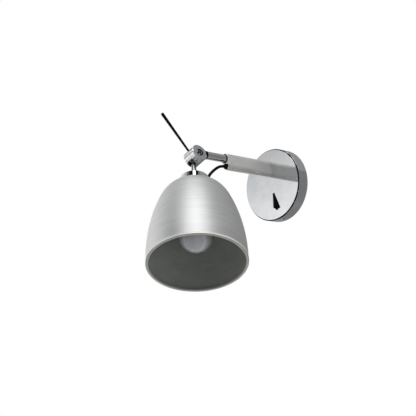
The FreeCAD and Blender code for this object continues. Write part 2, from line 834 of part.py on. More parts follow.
def shade_bead():
    """Rolled bead that wraps the edge of the mouth."""
    low = shade_mouth - bead_height
    outer_r = shade_mouth_r + bead_stand
    bead = bored(outer_r, outer_r - bead_width, low, shade_mouth)
    bead = bead.makeFillet(bead_round, [e for e in bead.Edges if e.BoundBox.ZLength < seat_gap])
    return in_frame(bead.cut(bell()), head_place())


def lampholder():
    """Heat-proof holder: a flange above the shade's neck plate, a body through it and a deep mouth."""
    flange_end = shade_start - holder_flange_gap
    body = turned_profile([
        (0, flange_end - holder_flange), (holder_flange_r, flange_end - holder_flange),
        (holder_flange_r, flange_end), (holder_r, flange_end), (holder_r, holder_end),
        (holder_mouth_r, holder_end), (holder_mouth_r, holder_floor), (0, holder_floor)])
    return in_frame(body, head_place())


def holder_seat():
    """Fibre washer between the holder's flange and the shade."""
    washer = bored(holder_flange_r, holder_r + seat_gap / 2, shade_start - holder_flange_gap, shade_start)
    return in_frame(washer, head_place())


def holder_ring():
    """Threaded ring that pulls the shade up against the holder's flange."""
    start = shade_start + shade_wall
    ring = bored(ring_r, holder_r, start, start + ring_height)
    top = [edge for edge in ring.Edges if edge.BoundBox.ZMin > start + ring_height - seat_gap]
    ring = ring.makeChamfer(ring_height / 4, [edge for edge in top if edge.BoundBox.XMax > ring_r - seat_gap])
    return in_frame(ring, head_place())


def holder_shell():
    """Brass screw shell in the holder's mouth."""
    return in_frame(bored(shell_r, shell_r - shell_wall, holder_floor, shell_end), head_place())


def holder_contact():
    """Sprung centre contact on the holder's floor."""
    reach = base_start - tip_height - holder_floor
    foot = cylinder(contact_r, holder_floor, holder_floor + contact_foot)
    tongue = cylinder(contact_r / 2, holder_floor, holder_floor + reach)
    return in_frame(foot.fuse(tongue).removeSplitter(), head_place())


def bulb_base():
    """Screw base with its insulated tip contact and flared skirt."""
    base = turned_profile([
        (0, base_start - tip_height), (tip_r, base_start - tip_height), (tip_r, base_start),
        (base_r, base_start + tip_height),
        (base_r, base_skirt_start), (base_skirt_r, base_end), (base_skirt_r - glass_wall, base_end),
        (base_r - glass_wall, base_skirt_start), (base_r - glass_wall, base_start + 2 * tip_height),
        (0, base_start + 2 * tip_height)])
    return in_frame(base, head_place())


def globe_wire(radius, neck):
    """Half outline of the golf-ball glass: a neck, then the globe."""
    meet = bulb_centre - math.sqrt(radius ** 2 - neck ** 2)
    top = V(neck, 0, base_end)
    join = V(neck, 0, meet)
    tip = V(0, 0, bulb_centre + radius)
    edges = [
        Part.LineSegment(V(0, 0, base_end), top).toShape(), Part.LineSegment(top, join).toShape(),
        Part.Arc(join, V(radius, 0, bulb_centre), tip).toShape(),
        Part.LineSegment(tip, V(0, 0, base_end)).toShape()]
    return Part.Wire(edges)


def bulb_glass():
    """Golf-ball glass envelope, hollow and open at the neck."""
    neck = base_skirt_r
    outer = Part.Face(globe_wire(bulb_r, neck)).revolve(V(0, 0, 0), V(0, 0, 1), 360)
    inner = Part.Face(globe_wire(bulb_r - glass_wall, neck - glass_wall)).revolve(V(0, 0, 0), V(0, 0, 1), 360)
    return in_frame(outer.cut(inner), head_place())


def bulb_stem():
    """Glass stem inside the bulb that carries the filament."""
    start = base_start + 2 * tip_height
    return in_frame(cylinder(filament_stem_r, start, base_end + filament_stem_length), head_place())


def bulb_filament():
    """Two support wires and the filament loop between them."""
    start = base_end + filament_stem_length + filament_wire_r
    low = start + filament_rise / 2
    left = V(-filament_r / 3, 0, start)
    points = [left, V(-filament_r, 0, low), V(0, filament_r / 2, low + filament_r / 2), V(filament_r, 0, low),
              V(filament_r / 3, 0, start)]
    return in_frame(tube_along(points, filament_wire_r, "filament"), head_place())


def lamp_cord_upper():
    """Free cord from inside the arm, through the grommet, to where the second stretch begins."""
    return tube_along(cord_arm_points + [cord_meeting], cord_r, "lamp_cord_upper")


def lamp_cord_lower():
    """Free cord from the meeting point, down through the gland, into the cap."""
    last = head_place().multVec(cord_spot(cord_tail))
    print("cord ends at", [round(c, 2) for c in last])
    return tube_along([cord_meeting] + cord_head_points + [last], cord_r, "lamp_cord_lower")


def cap_wires():
    """Two cores from the cord's end to the back of the lampholder."""
    floor = shade_start - holder_flange_gap - holder_flange
    start = cord_spot(cord_tail)
    heading = start.sub(cord_spot(0))
    side = heading.cross(V(0, 0, 1)).normalize().multiply(lead_core_r * core_spread_share)
    below = cylinder(holder_flange_r + cord_tail, floor, floor + shade_mouth)
    wires = [Part.makeCylinder(lead_core_r, 2 * cord_tail, start.add(offset), heading).cut(below)
             for offset in (side, side * -1)]
    return in_frame(group(wires), head_place())


makers = [
    wall_bracket, wall_plate, rim_screw, terminal_block, terminal_screws, earth_stud, earth_nut,
    switch_body, switch_lever, lever_pin, switch_contacts, arm_backing_plate, arm_screws, arm_root_plug,
    arm_tube, arm_end_plug, cord_grommet, extension_tube, tube_ring, tube_stud, tube_stud_nut, inner_lead,
    inner_lead_cores, knuckle_block, neck_ring, neck_clip, knuckle_washers, knuckle_far_cap, pivot_bolt,
    knuckle_hub, handle_rod, rod_end_cap, stem, shade_cap, stem_end_nut, cord_gland, shade, shade_bead,
    lampholder, holder_seat, holder_ring, holder_shell, holder_contact, bulb_base, bulb_glass, bulb_stem,
    bulb_filament, lamp_cord_upper, lamp_cord_lower, cap_wires]

os.makedirs("parts", exist_ok=True)
for maker in makers:
    shape = maker()
    name = maker.__name__
    if not shape.isValid():
        print(name, "is not valid")
    shape.exportStep("parts/" + name + ".step")
    print(name, len(shape.Solids), "solids", round(shape.Volume, 1))
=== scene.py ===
"""Looks of the wall lamp: chrome wall plate, flat-oval arm, friction knuckle and brushed bell shade."""
import json
import logging
import math
from dataclasses import dataclass
from enum import Enum
from typing import Sequence

import bmesh
import bpy
import numpy as np
from mathutils import Matrix, Vector


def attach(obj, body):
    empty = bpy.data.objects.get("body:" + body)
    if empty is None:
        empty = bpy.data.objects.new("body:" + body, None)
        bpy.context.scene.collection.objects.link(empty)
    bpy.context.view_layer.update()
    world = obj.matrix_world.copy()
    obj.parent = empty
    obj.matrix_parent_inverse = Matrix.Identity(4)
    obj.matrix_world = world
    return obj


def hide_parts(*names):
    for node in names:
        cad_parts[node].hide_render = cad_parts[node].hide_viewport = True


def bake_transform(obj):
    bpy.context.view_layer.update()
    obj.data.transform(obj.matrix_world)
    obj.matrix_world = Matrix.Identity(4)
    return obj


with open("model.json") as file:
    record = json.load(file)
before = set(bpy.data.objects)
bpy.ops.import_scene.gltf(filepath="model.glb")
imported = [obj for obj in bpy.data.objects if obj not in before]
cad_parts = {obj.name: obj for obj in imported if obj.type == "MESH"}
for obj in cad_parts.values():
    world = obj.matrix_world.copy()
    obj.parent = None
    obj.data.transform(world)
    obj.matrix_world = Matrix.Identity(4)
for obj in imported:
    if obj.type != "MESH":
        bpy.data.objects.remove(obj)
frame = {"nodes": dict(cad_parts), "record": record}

log = logging.getLogger("wall_lamp")
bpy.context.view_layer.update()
MM = 0.001

Colour = tuple[float, float, float]
Place = tuple[float, float, float]


def unit(vector: Sequence[float]) -> np.ndarray:
    """Bring a vector to length one.

    Args:
        vector: any vector but zero.
    Returns:
        The same direction at length one.
    """
    array = np.asarray(vector, float)
    return array / np.linalg.norm(array)


@dataclass(frozen=True)
class Frame:
    """A place to build in: an origin and two axes, with the third across them.

    Args:
        origin: the place of the frame's zero, in millimetres of the lamp's own frame.
        across: the frame's X axis.
        along: the frame's Z axis, the axis that turned pieces are turned about.
    """
    origin: Place
    across: Place
    along: Place

    def matrix(self) -> np.ndarray:
        """Work out the frame's axes.

        Returns:
            The three axes as the columns of a 3 by 3 array.
        """
        z = unit(self.along)
        x = unit(np.asarray(self.across) - np.dot(self.across, z) * z)
        return np.stack([x, np.cross(z, x), z], axis=1)

    def to_lamp(self, points: np.ndarray) -> np.ndarray:
        """Carry points from this frame's millimetres into the lamp's metres.

        Args:
            points: any array whose last axis holds x, y and z.
        Returns:
            The same array in the lamp's frame, in metres.
        """
        return (points @ self.matrix().T + np.asarray(self.origin)) * MM


STEM_AXIS = (0.1276, -0.3061, -0.9434)
BOLT_AXIS = (0.9910, 0.0, 0.1341)
HUB_CENTRE = (-9.97, -146.62, 26.45)
KNUCKLE_CENTRE = (0.0, -146.62, 27.79)
HEAD = Frame(HUB_CENTRE, BOLT_AXIS, STEM_AXIS)
BOLT = Frame(KNUCKLE_CENTRE, (0.0, -1.0, 0.0), BOLT_AXIS)


class Sheet:
    """A short way to write a node tree.

    Args:
        tree: the node tree that the nodes go into.
    """

    def __init__(self, tree: bpy.types.NodeTree) -> None:
        self.tree = tree
        tree.nodes.clear()

    def add(self, kind: str, inputs: dict | None = None, **settings: object) -> bpy.types.Node:
        """Add a node, set its properties, and fill or link its inputs.

        Args:
            kind: the node's type name without its ShaderNode part.
            inputs: input name or number to a value, or to the output socket that feeds it.
            settings: the node's own properties.
        Returns:
            The new node.
        """
        node = self.tree.nodes.new("ShaderNode" + kind)
        for key, value in settings.items():
            setattr(node, key, value)
        for key, value in (inputs or {}).items():
            if isinstance(value, bpy.types.NodeSocket):
                self.tree.links.new(value, node.inputs[key])
            else:
                node.inputs[key].default_value = value
        return node

    def math(self, operation: str, first: object, second: object = 0.0) -> bpy.types.NodeSocket:
        """Add a Math node.

        Args:
            operation: the node's operation.
            first, second: its two inputs, each a value or a socket.
        Returns:
            The node's result.
        """
        return self.add("Math", {0: first, 1: second}, operation=operation).outputs[0]

    def noise(self, place: bpy.types.NodeSocket, scale: float, **inputs: float) -> bpy.types.NodeSocket:
        """Add a Noise Texture.

        Args:
            place: where the noise is read.
            scale: its scale.
            inputs: its other inputs by name.
        Returns:
            The noise, about 0 to 1.
        """
        return self.add("TexNoise", {"Vector": place, "Scale": scale, **inputs}).outputs["Fac"]

    def share(self, value: bpy.types.NodeSocket, start: float, end: float, low: float, high: float,
              kind: str = "LINEAR") -> bpy.types.NodeSocket:
        """Map a value from one range onto another, held at its ends.

        Args:
            value: the value to map.
            start, end: the range that it comes from.
            low, high: what the range's start and end become.
            kind: how it goes from one to the other.
        Returns:
            The mapped value.
        """
        return self.add("MapRange", {
            "Value": value, "From Min": start, "From Max": end, "To Min": low, "To Max": high},
            interpolation_type=kind).outputs[0]

    def ramp(self, fac: bpy.types.NodeSocket, stops: Sequence[tuple[float, Colour]]) -> bpy.types.NodeSocket:
        """Add a Color Ramp over the given stops.

        Args:
            fac: what drives the ramp.
            stops: position and colour of each stop, in order.
        Returns:
            The ramp's colour socket.
        """
        node = self.add("ValToRGB", {"Fac": fac})
        stop = node.color_ramp.elements
        while len(stop) < len(stops):
            stop.new(0.5)
        for element, (position, colour) in zip(stop, stops):
            element.position = position
            element.color = (*colour, 1.0)
        return node.outputs["Color"]


MADE: dict["Finish", bpy.types.Material] = {}
PATTERN_RANGE = (0.35, 0.65)
FINE_DETAIL = {"Detail": 4.0, "Roughness": 0.6}
BROAD_SCALE = 38.0
BROAD_DETAIL = {"Detail": 3.0}
BUMP_HEIGHT = 0.00005
COAT_ROUGHNESS = 0.04
TURNED_MAP = "turned"


class Pattern(Enum):
    """What a finish's fine pattern follows."""
    OBJECT = "the piece's place in the lamp"
    AROUND = "the piece's own UV map, U along the outline in metres and V once round"


@dataclass(frozen=True)
class Finish:
    """A surface finish: one Principled shader with a fine pattern in its colour, roughness and bump.

    Args:
        name: the material's name.
        dark, light: the two colours that the pattern goes between.
        metallic: 1 for bare metal.
        rough: lowest and highest roughness.
        grain: how fine the pattern is, in cycles a metre along X, Y and Z, or round, round and along.
        bump: how strongly the pattern stands up.
        coat: weight of a clear coat.
        pattern: what the pattern follows.
        anisotropy: how far the highlight is drawn out along the outline.
        specular: strength of the reflection of a surface that isn't metal.
        smudge: share of broad, soft variation in the pattern.
        transmission: share of light that passes through.
    """
    name: str
    dark: Colour
    light: Colour
    metallic: float = 0.0
    rough: tuple[float, float] = (0.3, 0.4)
    grain: tuple[float, float, float] = (400.0, 400.0, 400.0)
    bump: float = 0.05
    coat: float = 0.0
    pattern: Pattern = Pattern.OBJECT
    anisotropy: float = 0.0
    specular: float = 0.5
    smudge: float = 0.25
    transmission: float = 0.0

    def place(self, sheet: Sheet) -> bpy.types.NodeSocket:
        """Where the fine pattern is read.

        Args:
            sheet: the material's node sheet.
        Returns:
            The pattern's coordinates. Round a turned piece they go round a circle, so that no seam shows.
        """
        places = sheet.add("TexCoord").outputs
        if self.pattern is Pattern.OBJECT:
            return sheet.add("Mapping", {"Vector": places["Object"], "Scale": self.grain}).outputs[0]
        split = sheet.add("SeparateXYZ", {"Vector": places["UV"]})
        angle = sheet.math("MULTIPLY", split.outputs["Y"], math.tau)
        return sheet.add("CombineXYZ", {
            "X": sheet.math("MULTIPLY", sheet.math("COSINE", angle), self.grain[0]),
            "Y": sheet.math("MULTIPLY", sheet.math("SINE", angle), self.grain[1]),
            "Z": sheet.math("MULTIPLY", split.outputs["X"], self.grain[2])}).outputs[0]

    def build(self) -> bpy.types.Material:
        """Make the material, once for each finish.

        Returns:
            The finish's one material.
        """
        if self not in MADE:
            MADE[self] = self.make()
        return MADE[self]

    def tint(self, sheet: Sheet, colour: bpy.types.NodeSocket) -> bpy.types.NodeSocket:
        """The surface's colour from the pattern's colour: the same, unless a finish says otherwise.

        Args:
            sheet: the material's node sheet.
            colour: the pattern's colour.
        Returns:
            The colour that the shader takes.
        """
        return colour

    def make(self) -> bpy.types.Material:
        """Write the finish's node tree.

        Returns:
            The new material.
        """
        material = bpy.data.materials.new("lamp_" + self.name)
        material.use_nodes = True
        sheet = Sheet(material.node_tree)
        shader = sheet.add("BsdfPrincipled", {
            "Metallic": self.metallic, "Coat Weight": self.coat, "Coat Roughness": COAT_ROUGHNESS,
            "Anisotropic": self.anisotropy, "Specular IOR Level": self.specular,
            "Transmission Weight": self.transmission})
        fine = sheet.noise(self.place(sheet), 1.0, **FINE_DETAIL)
        broad = sheet.noise(sheet.add("TexCoord").outputs["Object"], BROAD_SCALE, **BROAD_DETAIL)
        mixed = sheet.math("ADD", sheet.math("MULTIPLY", fine, 1.0 - self.smudge),
                           sheet.math("MULTIPLY", broad, self.smudge))
        colour = sheet.ramp(mixed, list(zip(PATTERN_RANGE, (self.dark, self.light))))
        sheet.tree.links.new(self.tint(sheet, colour), shader.inputs["Base Color"])
        sheet.tree.links.new(sheet.share(mixed, *PATTERN_RANGE, *self.rough), shader.inputs["Roughness"])
        if self.anisotropy:
            tangent = sheet.add("Tangent", direction_type="UV_MAP", uv_map=TURNED_MAP)
            sheet.tree.links.new(tangent.outputs[0], shader.inputs["Tangent"])
        if self.bump:
            lift = sheet.add("Bump", {"Height": fine, "Strength": self.bump, "Distance": BUMP_HEIGHT})
            sheet.tree.links.new(lift.outputs[0], shader.inputs["Normal"])
        sheet.add("OutputMaterial", {"Surface": shader.outputs[0]})
        return material


@dataclass(frozen=True)
class PaintedBevelPlateFinish(Finish):
    """The wall plate's chrome, with a dark line painted round its bevel: a painted reflection of dark
    surroundings.

    Args:
        radius: how far from the plate's middle the bevel begins, in metres.
        depth: how far from the wall the bevel begins, in metres.
        line: what the bevel keeps of the colour where the dark reflection is painted on.
    """
    radius: float = 0.0487
    depth: float = 0.01655
    line: float = 0.02

    def tint(self, sheet: Sheet, colour: bpy.types.NodeSocket) -> bpy.types.NodeSocket:
        """Darken the colour where the piece is both wide and deep enough to be the bevel: a painted
        reflection of dark surroundings.

        Args:
            sheet: the material's node sheet.
            colour: the pattern's colour.
        Returns:
            The colour that the shader takes.
        """
        split = sheet.add("SeparateXYZ", {"Vector": sheet.add("TexCoord").outputs["Object"]})
        flat = sheet.add("CombineXYZ", {"X": split.outputs["X"], "Z": split.outputs["Z"]}).outputs[0]
        away = sheet.add("VectorMath", {0: flat}, operation="LENGTH").outputs["Value"]
        deep = sheet.math("MULTIPLY", split.outputs["Y"], -1.0)
        # The ring is the bevel, where the chrome's colour is painted dark as a reflection of dark
        # surroundings.
        ring = sheet.math("MULTIPLY", sheet.math("GREATER_THAN", away, self.radius),
                          sheet.math("GREATER_THAN", deep, self.depth))
        bevel_keep_painted_dark = sheet.math("SUBTRACT", 1.0, sheet.math("MULTIPLY", ring, 1.0 - self.line))
        return sheet.add("VectorMath", {0: colour, "Scale": bevel_keep_painted_dark}, operation="SCALE").outputs[0]


CHROME = Finish(
    "polished_chrome", dark=(0.70, 0.72, 0.74), light=(0.78, 0.79, 0.80), metallic=1.0,
    rough=(0.035, 0.075), grain=(90, 90, 90), bump=0.004)
BRUSHED = Finish(
    "brushed_aluminium", dark=(0.79, 0.795, 0.80), light=(0.90, 0.904, 0.91), metallic=1.0,
    rough=(0.50, 0.58), grain=(1.6, 1.6, 520), bump=0.16, pattern=Pattern.AROUND, anisotropy=0.2,
    smudge=0.1)
INSIDE = Finish(
    "dull_aluminium", dark=(0.24, 0.25, 0.235), light=(0.32, 0.33, 0.31), metallic=0.25, rough=(0.42, 0.52),
    grain=(2.2, 2.2, 900), bump=0.15, pattern=Pattern.AROUND, smudge=0.3)
SATIN = Finish(
    "satin_aluminium", dark=(0.55, 0.55, 0.54), light=(0.69, 0.69, 0.68), metallic=0.75, rough=(0.32, 0.42),
    grain=(1800, 90, 1800), bump=0.12)
STEEL = Finish(
    "zinc_steel", dark=(0.38, 0.38, 0.39), light=(0.52, 0.52, 0.53), metallic=1.0, rough=(0.30, 0.45),
    grain=(700, 700, 700), bump=0.05)
BRASS = Finish(
    "terminal_brass", dark=(0.55, 0.40, 0.16), light=(0.70, 0.53, 0.24), metallic=1.0, rough=(0.25, 0.38),
    grain=(700, 700, 700), bump=0.05)
COPPER = Finish(
    "core_copper", dark=(0.60, 0.27, 0.16), light=(0.74, 0.36, 0.22), metallic=1.0, rough=(0.25, 0.35),
    grain=(900, 900, 900), bump=0.05)
BULB_METAL = Finish(
    "bulb_base_metal", dark=(0.45, 0.45, 0.45), light=(0.62, 0.62, 0.61), metallic=1.0, rough=(0.25, 0.4),
    grain=(500, 500, 900), bump=0.08)
BLACK = Finish(
    "black_plastic", dark=(0.002, 0.002, 0.002), light=(0.005, 0.005, 0.005), rough=(0.40, 0.52),
    grain=(900, 900, 900), bump=0.08, specular=0.012)
BLACK_GLOSS = Finish(
    "black_lacquer", dark=(0.002, 0.002, 0.002), light=(0.004, 0.004, 0.004), rough=(0.14, 0.20),
    grain=(300, 300, 300), bump=0.01, specular=0.10)
# The wall plate's chrome, with a dark reflection painted on its bevel.
PLATE_CHROME_PAINTED_BEVEL = PaintedBevelPlateFinish(
    "plate_chrome_painted_bevel_reflection", dark=(0.70, 0.72, 0.74), light=(0.78, 0.79, 0.80), metallic=1.0, rough=(0.035, 0.075),
    grain=(90, 90, 90), bump=0.004)
# A darker copy of the chrome for the stem: its colour is painted dark to stand for the darker surroundings
# it mirrors, a painted shade.
STEM_CHROME_PAINTED_DARK = Finish(
    "stem_chrome_painted_shade", dark=(0.30, 0.305, 0.31), light=(0.35, 0.355, 0.36), metallic=1.0, rough=(0.05, 0.09),
    grain=(120, 120, 120), bump=0.004)
SOFT_CHROME = Finish(
    "satin_chrome", dark=(0.62, 0.63, 0.65), light=(0.76, 0.77, 0.79), metallic=1.0, rough=(0.13, 0.20),
    grain=(260, 260, 260), bump=0.02)
DARK_STEEL = Finish(
    "blackened_steel", dark=(0.012, 0.012, 0.012), light=(0.035, 0.034, 0.032), metallic=0.6,
    rough=(0.30, 0.42), grain=(900, 900, 900), bump=0.05)
BOLT_STEEL = Finish(
    "bolt_steel", dark=(0.08, 0.08, 0.07), light=(0.13, 0.13, 0.115), metallic=0.7, rough=(0.35, 0.45),
    grain=(900, 900, 900), bump=0.05)
# Three copies of the bead's one aluminium in painted light and shade: a lighter edge, dark lines of painted
# shade at its rounded corners, and a darker face.
BEAD_EDGE_PAINTED_LIT = Finish(
    "bead_edge_painted_lit", dark=(0.48, 0.48, 0.455), light=(0.60, 0.60, 0.57), metallic=0.4, rough=(0.30, 0.40),
    grain=(2.0, 2.0, 900), bump=0.1, pattern=Pattern.AROUND)
BEAD_LINE_PAINTED_SHADE = Finish(
    "bead_line_painted_shade", dark=(0.15, 0.153, 0.135), light=(0.21, 0.213, 0.19), metallic=0.4, rough=(0.35, 0.45),
    grain=(3.0, 3.0, 900), bump=0.1, pattern=Pattern.AROUND)
BEAD_FACE_PAINTED_SHADED = Finish(
    "bead_face_painted_shaded", dark=(0.38, 0.375, 0.345), light=(0.49, 0.485, 0.45), metallic=0.5, rough=(0.35, 0.45),
    grain=(3.0, 3.0, 900), bump=0.1, pattern=Pattern.AROUND)
RUBBER = Finish(
    "black_rubber", dark=(0.002, 0.002, 0.002), light=(0.006, 0.006, 0.006), rough=(0.50, 0.65),
    grain=(1500, 1500, 1500), bump=0.12, specular=0.015)
PALE = Finish(
    "pale_plastic", dark=(0.60, 0.60, 0.59), light=(0.70, 0.70, 0.69), rough=(0.35, 0.45),
    grain=(600, 600, 600), bump=0.04)
CLEAR = Finish(
    "clear_glass", dark=(0.20, 0.21, 0.21), light=(0.32, 0.33, 0.34), rough=(0.06, 0.12),
    grain=(60, 60, 60), bump=0.02, coat=0.6, smudge=0.6, transmission=0.6)

SLOT_FINISH = {
    "chrome": CHROME, "satin_aluminium": SATIN, "brushed_aluminium": SATIN, "steel": STEEL, "brass": BRASS,
    "bulb_metal": BULB_METAL, "black_plastic": BLACK, "black_gloss": BLACK_GLOSS, "pale_plastic": PALE,
    "black_rubber": RUBBER, "core_copper": COPPER, "glass": CLEAR}
NODE_FINISH = {
    "pivot_bolt": DARK_STEEL, "rim_screw": DARK_STEEL, "rod_end_cap": STEEL, "knuckle_block": SOFT_CHROME,
    "knuckle_hub": SOFT_CHROME, "wall_plate": PLATE_CHROME_PAINTED_BEVEL, "stem": STEM_CHROME_PAINTED_DARK}


@dataclass(frozen=True)
class RippledGlass:
    """The bulb's glass: grey, with fine ripples round one spot, a paler ring that is a painted highlight,
    and painted shade that darkens it far from the spot.

    Args:
        name: the material's name.
        spot: the middle of the ripples, in metres.
        ripples: how many ripples there are in a metre.
        ripple_tone, ripple_bump, ripple_height: how strongly they show in the colour and in the surface.
        ring: how far the pale ring, a painted highlight, is from the spot, in metres.
        ring_shares: how wide the ring is inwards and outwards, as shares of the edge.
        edge: how far from the spot the painted shade has turned the glass dark, in metres.
        cloud_scale, cloud_shift: how fine the rings' unevenness is, and how far it shifts them in metres.
        dark, middle, pale: the painted shade far from the spot, the colour near it, and the painted
            highlight in the ring.
        rough, coat, coat_rough: the shine of the glass.
    """
    name: str = "rippled_glass_painted_light"
    spot: Place = (0.0, 0.0, 0.0)
    ripples: float = 700.0
    ripple_tone: float = 0.16
    ripple_bump: float = 0.12
    ripple_height: float = 0.0002
    ring: float = 0.0140
    ring_shares: tuple[float, float] = (0.10, 0.07)
    edge: float = 0.026
    cloud_scale: float = 120.0
    cloud_shift: float = 0.006
    dark: Colour = (0.085, 0.095, 0.085)
    middle: Colour = (0.25, 0.25, 0.265)
    pale: Colour = (0.33, 0.335, 0.355)
    rough: float = 0.12
    coat: float = 0.7
    coat_rough: float = 0.03

    def build(self) -> bpy.types.Material:
        """Make the material.

        Returns:
            The new material.
        """
        material = bpy.data.materials.new(self.name)
        material.use_nodes = True
        sheet = Sheet(material.node_tree)
        place = sheet.add("TexCoord").outputs["Object"]
        far = sheet.add("VectorMath", {0: place, 1: self.spot}, operation="DISTANCE").outputs["Value"]
        cloud = sheet.math("SUBTRACT", sheet.noise(place, self.cloud_scale, **BROAD_DETAIL), 0.5)
        far = sheet.math("ADD", far, sheet.math("MULTIPLY", cloud, self.cloud_shift))
        wave = sheet.math("SINE", sheet.math("MULTIPLY", far, self.ripples * math.tau))
        fade = sheet.share(far, 0.0, self.ring, self.ripple_tone, 0.0)
        # Painted shade: the glass darkens with distance from the spot, with the ripples laid on top.
        painted_shade_and_ripples = sheet.math("ADD", sheet.math("DIVIDE", far, self.edge), sheet.math("MULTIPLY", wave, fade))
        ring = self.ring / self.edge
        before, after = self.ring_shares
        # The pale stop in the ramp is a painted highlight ring.
        colour = sheet.ramp(painted_shade_and_ripples, [(0.0, self.middle), (ring - before, self.middle), (ring, self.pale),
                                   (ring + after, self.middle), (1.0, self.dark)])
        bump = sheet.add("Bump", {
            "Height": wave, "Strength": self.ripple_bump, "Distance": self.ripple_height})
        shader = sheet.add("BsdfPrincipled", {
            "Base Color": colour, "Roughness": self.rough, "Coat Weight": self.coat,
            "Coat Roughness": self.coat_rough, "Normal": bump.outputs[0]})
        sheet.add("OutputMaterial", {"Surface": shader.outputs[0]})
        return material


MERGE_DISTANCE = 1e-7


def run_of(points: np.ndarray) -> np.ndarray:
    """Measure how far along a line each of its points is.

    Args:
        points: the line's points, one a row.
    Returns:
        The distance from the first point to each point, along the line.
    """
    return np.concatenate([[0.0], np.cumsum(np.linalg.norm(np.diff(points, axis=0), axis=1))])


def skin(name: str, grid: np.ndarray, finishes: Sequence[Finish | RippledGlass],
         slots: np.ndarray | None = None, along: np.ndarray | None = None) -> bpy.types.Object:
    """A surface over a grid of points that closes on itself both ways or ends in poles.

    Faces join each point to the next in both directions. The first axis goes round the piece and closes.
    The second goes along the outline. Points that fall together, as at a pole, are merged.

    Args:
        name: the piece's name.
        grid: points in metres, round by along by 3.
        finishes: the piece's materials.
        slots: for each step along the outline, which finish it has.
        along: distance along the outline at each point, for the UV map.
    Returns:
        The new object, linked and smooth.
    """
    rounds, steps = grid.shape[:2]
    if along is None:
        along = run_of(grid[0])
    i, j = np.meshgrid(np.arange(rounds), np.arange(steps - 1), indexing="ij")
    corner_i = np.stack([i, i + 1, i + 1, i], axis=-1).reshape(-1, 4)
    corner_j = np.stack([j, j, j + 1, j + 1], axis=-1).reshape(-1, 4)
    faces = (corner_i % rounds) * steps + corner_j
    mesh = bpy.data.meshes.new(name)
    mesh.from_pydata(grid.reshape(-1, 3), [], faces.tolist())
    turned = mesh.uv_layers.new(name=TURNED_MAP)
    uv = np.stack([along[corner_j], corner_i / rounds], axis=-1).reshape(-1)
    turned.data.foreach_set("uv", uv.astype(np.float32))
    if slots is not None:
        mesh.polygons.foreach_set("material_index", np.tile(slots, rounds).astype(np.int32))
    build = bmesh.new()
    build.from_mesh(mesh)
    bmesh.ops.remove_doubles(build, verts=build.verts, dist=MERGE_DISTANCE)
    bmesh.ops.recalc_face_normals(build, faces=build.faces)
    build.to_mesh(mesh)
    build.free()
    mesh.polygons.foreach_set("use_smooth", np.ones(len(mesh.polygons), bool))
    for finish in finishes:
        mesh.materials.append(finish.build())
    piece = bpy.data.objects.new(name, mesh)
    bpy.context.scene.collection.objects.link(piece)
    return piece


def turn(outline: np.ndarray, rounds: int) -> np.ndarray:
    """Turn an outline about Z: x = r cos a, y = r sin a, z = h.

    Args:
        outline: radius and height of each point.
        rounds: how many points go round.
    Returns:
        A grid of points, round by along by 3.
    """
    angle = np.linspace(0.0, math.tau, rounds, endpoint=False)[:, None]
    radius, height = outline[None, :, 0], outline[None, :, 1]
    return np.stack([radius * np.cos(angle), radius * np.sin(angle), height + 0 * angle], axis=-1)


def smooth_line(points: np.ndarray, count: int) -> np.ndarray:
    """A cubic through the points, with chord-length steps and slopes from each point's neighbours.

    Args:
        points: the points to pass, one a row.
        count: how many points to give back.
    Returns:
        Evenly spread points on the curve.
    """
    knots = run_of(points)
    slope = np.gradient(points, knots, axis=0, edge_order=2)
    at = np.linspace(0.0, knots[-1], count)
    k = np.clip(np.searchsorted(knots, at, side="right") - 1, 0, len(knots) - 2)
    span = (knots[k + 1] - knots[k])[:, None]
    t = (at - knots[k])[:, None] / span
    return ((2 * t ** 3 - 3 * t ** 2 + 1) * points[k] + (t ** 3 - 2 * t ** 2 + t) * span * slope[k]
            + (3 * t ** 2 - 2 * t ** 3) * points[k + 1] + (t ** 3 - t ** 2) * span * slope[k + 1])


@dataclass
class Bell:
    """The spun shade: a bell with a thin wall, brushed outside and dull inside. Sizes in millimetres."""
    start: float = 48.4
    neck: float = 20.3
    mouth: float = 166.3
    mouth_radius: float = 60.8
    wall: float = 1.2
    edge_inset: float = 1.0
    hole: float = 13.8
    outline_shares: tuple[tuple[float, float], ...] = (
        (0.0, 0.0), (0.031, 0.15), (0.081, 0.363), (0.158, 0.536), (0.285, 0.694), (0.489, 0.869),
        (0.743, 0.985), (1.0, 1.0))
    rounds: int = 192
    steps: int = 120

    def outline(self) -> tuple[np.ndarray, np.ndarray]:
        """Draw the closed outline of the wall, down the outside and back up the inside.

        Returns:
            Radius and height of each point, and for each step whether it is inside.
        """
        shares = np.array(self.outline_shares)
        drop, wide = self.mouth - self.start, self.mouth_radius - self.neck
        radius, height = self.neck + shares[:, 1] * wide, self.start + shares[:, 0] * drop
        outer = smooth_line(np.stack([radius, height], axis=1), self.steps)
        along = np.gradient(outer, axis=0)
        inward = np.stack([-along[:, 1], along[:, 0]], axis=1) / np.linalg.norm(along, axis=1)[:, None]
        inner = outer + inward * self.wall
        inner[:, 1] = np.maximum(inner[:, 1], self.start + self.wall)
        edge = self.mouth - self.edge_inset
        outer, inner = outer[outer[:, 1] < edge], inner[inner[:, 1] < edge]
        lip = np.array([[outer[-1, 0], edge], [inner[-1, 0], edge]])
        plate = np.array([[self.hole, self.start + self.wall], [self.hole, self.start]])
        whole = np.concatenate([plate[1:], outer, lip, inner[::-1], plate[:1], plate[1:]])
        inside = np.arange(len(whole) - 1) >= len(outer) + 1
        return whole, inside

    def build(self) -> None:
        """Make the bell and set it in the place of its solid."""
        outline, inside = self.outline()
        bell = skin("brushed_bell", HEAD.to_lamp(turn(outline, self.rounds)), (BRUSHED, INSIDE), inside,
                    run_of(outline) * MM)
        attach(bell, "head")
        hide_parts("shade")
        log.info("built %s", bell.name)


